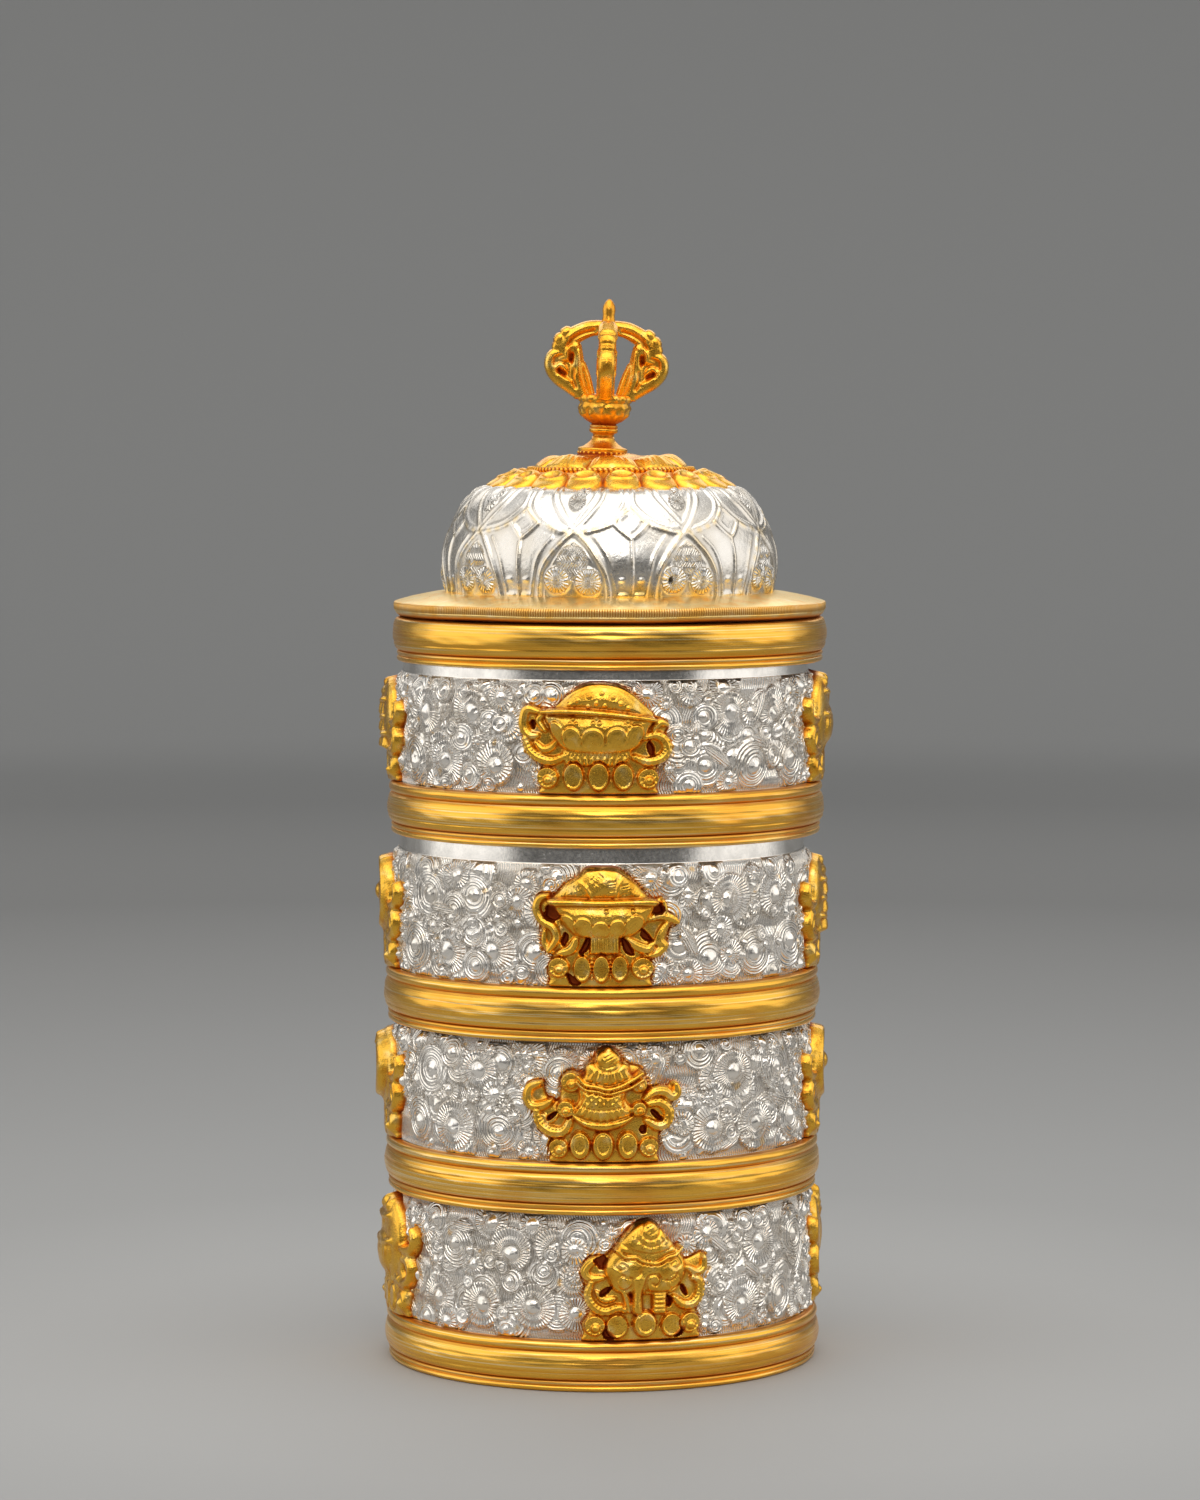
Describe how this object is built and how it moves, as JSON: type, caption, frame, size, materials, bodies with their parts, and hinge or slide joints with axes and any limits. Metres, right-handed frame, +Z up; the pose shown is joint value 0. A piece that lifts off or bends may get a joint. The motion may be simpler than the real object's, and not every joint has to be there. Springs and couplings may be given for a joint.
{
  "type": "stacked rice offering pot",
  "caption": "Tall round offering pot of stacked tiers with silver relief bands, gilt mouldings and emblems, and a domed lid with a half-vajra finial.",
  "frame": {"origin": "centre of the pot at the plane that its foot stands on", "axes": "+Z up, -Y towards the front emblems, +X to the right of somebody who faces the front"},
  "size_m": [0.073, 0.0723, 0.1697],
  "materials": {
    "gilt": "brushed gilt, streaky, with reddish grooves",
    "gilt_emblem": "bright gilt relief with reddish-brown recesses",
    "gilt_lid": "bright gilt with darker recesses",
    "relief_silver": "bright silver in high relief, engraved and punched, grey in the recesses",
    "dome_silver": "polished silver with engraved petals",
    "plain_silver": "plain polished silver",
    "copper": "plain worked copper",
    "steel": "plain"
  },
  "bodies": {
    "tier_1": {"foot_plate": "copper", "tier_1_moulding": "gilt", "tier_1_cup": "plain_silver", "tier_1_silver_band": "relief_silver", "tier_1_elephant_front": "gilt_emblem", "tier_1_conch_right": "gilt_emblem", "tier_1_mirror_back": "gilt_emblem", "tier_1_vase_left": "gilt_emblem"},
    "tier_2_seat": {"tier_2_seat_ring": "copper"},
    "tier_2": {"tier_2_moulding": "gilt", "tier_2_cup": "plain_silver", "tier_2_silver_band": "relief_silver", "tier_2_parasol_front": "gilt_emblem", "tier_2_wheel_right": "gilt_emblem", "tier_2_lotus_back": "gilt_emblem", "tier_2_fish_left": "gilt_emblem"},
    "tier_3_seat": {"tier_3_seat_ring": "copper"},
    "tier_3": {"tier_3_moulding": "gilt", "tier_3_cup": "plain_silver", "tier_3_silver_band": "relief_silver", "tier_3_leaf_bowl_front": "gilt_emblem", "tier_3_banner_right": "gilt_emblem", "tier_3_conch_back": "gilt_emblem", "tier_3_wheel_left": "gilt_emblem"},
    "tier_4_seat": {"tier_4_seat_ring": "copper"},
    "tier_4": {"tier_4_moulding": "gilt", "tier_4_cup": "plain_silver", "tier_4_silver_band": "relief_silver", "tier_4_seed_bowl_front": "gilt_emblem", "tier_4_vase_right": "gilt_emblem", "tier_4_knot_back": "gilt_emblem", "tier_4_banner_left": "gilt_emblem"},
    "lid_seat": {"lid_seat_ring": "copper"},
    "lid": {"lid_moulding": "gilt", "lid_flange": "gilt", "lid_dome": "dome_silver", "lotus_cap": "gilt_lid", "rope_ring": "gilt_lid", "petal_rosette": "gilt_lid", "finial_foot": "gilt_lid", "vajra_finial": "gilt_lid", "finial_stud": "steel", "finial_washer": "steel", "finial_nut": "steel"}
  },
  "joints": [
    {"name": "tier_2_lift", "type": "slide", "parent": "tier_1", "child": "tier_2_seat", "axis": [0, 0, 1], "range_m": [0, 0.04]},
    {"name": "tier_2_turn", "type": "hinge", "parent": "tier_2_seat", "child": "tier_2", "pos_m": [0, 0, 0.0322], "axis": [0, 0, 1], "continuous": true},
    {"name": "tier_3_lift", "type": "slide", "parent": "tier_2", "child": "tier_3_seat", "axis": [0, 0, 1], "range_m": [0, 0.04]},
    {"name": "tier_3_turn", "type": "hinge", "parent": "tier_3_seat", "child": "tier_3", "pos_m": [0, 0, 0.0591], "axis": [0, 0, 1], "continuous": true},
    {"name": "tier_4_lift", "type": "slide", "parent": "tier_3", "child": "tier_4_seat", "axis": [0, 0, 1], "range_m": [0, 0.04]},
    {"name": "tier_4_turn", "type": "hinge", "parent": "tier_4_seat", "child": "tier_4", "pos_m": [0.0006, 0, 0.0891], "axis": [0, 0, 1], "continuous": true},
    {"name": "lid_lift", "type": "slide", "parent": "tier_4", "child": "lid_seat", "axis": [0, 0, 1], "range_m": [0, 0.05]},
    {"name": "lid_turn", "type": "hinge", "parent": "lid_seat", "child": "lid", "pos_m": [0.00125, 0, 0.1165], "axis": [0, 0, 1], "continuous": true}
  ]
}
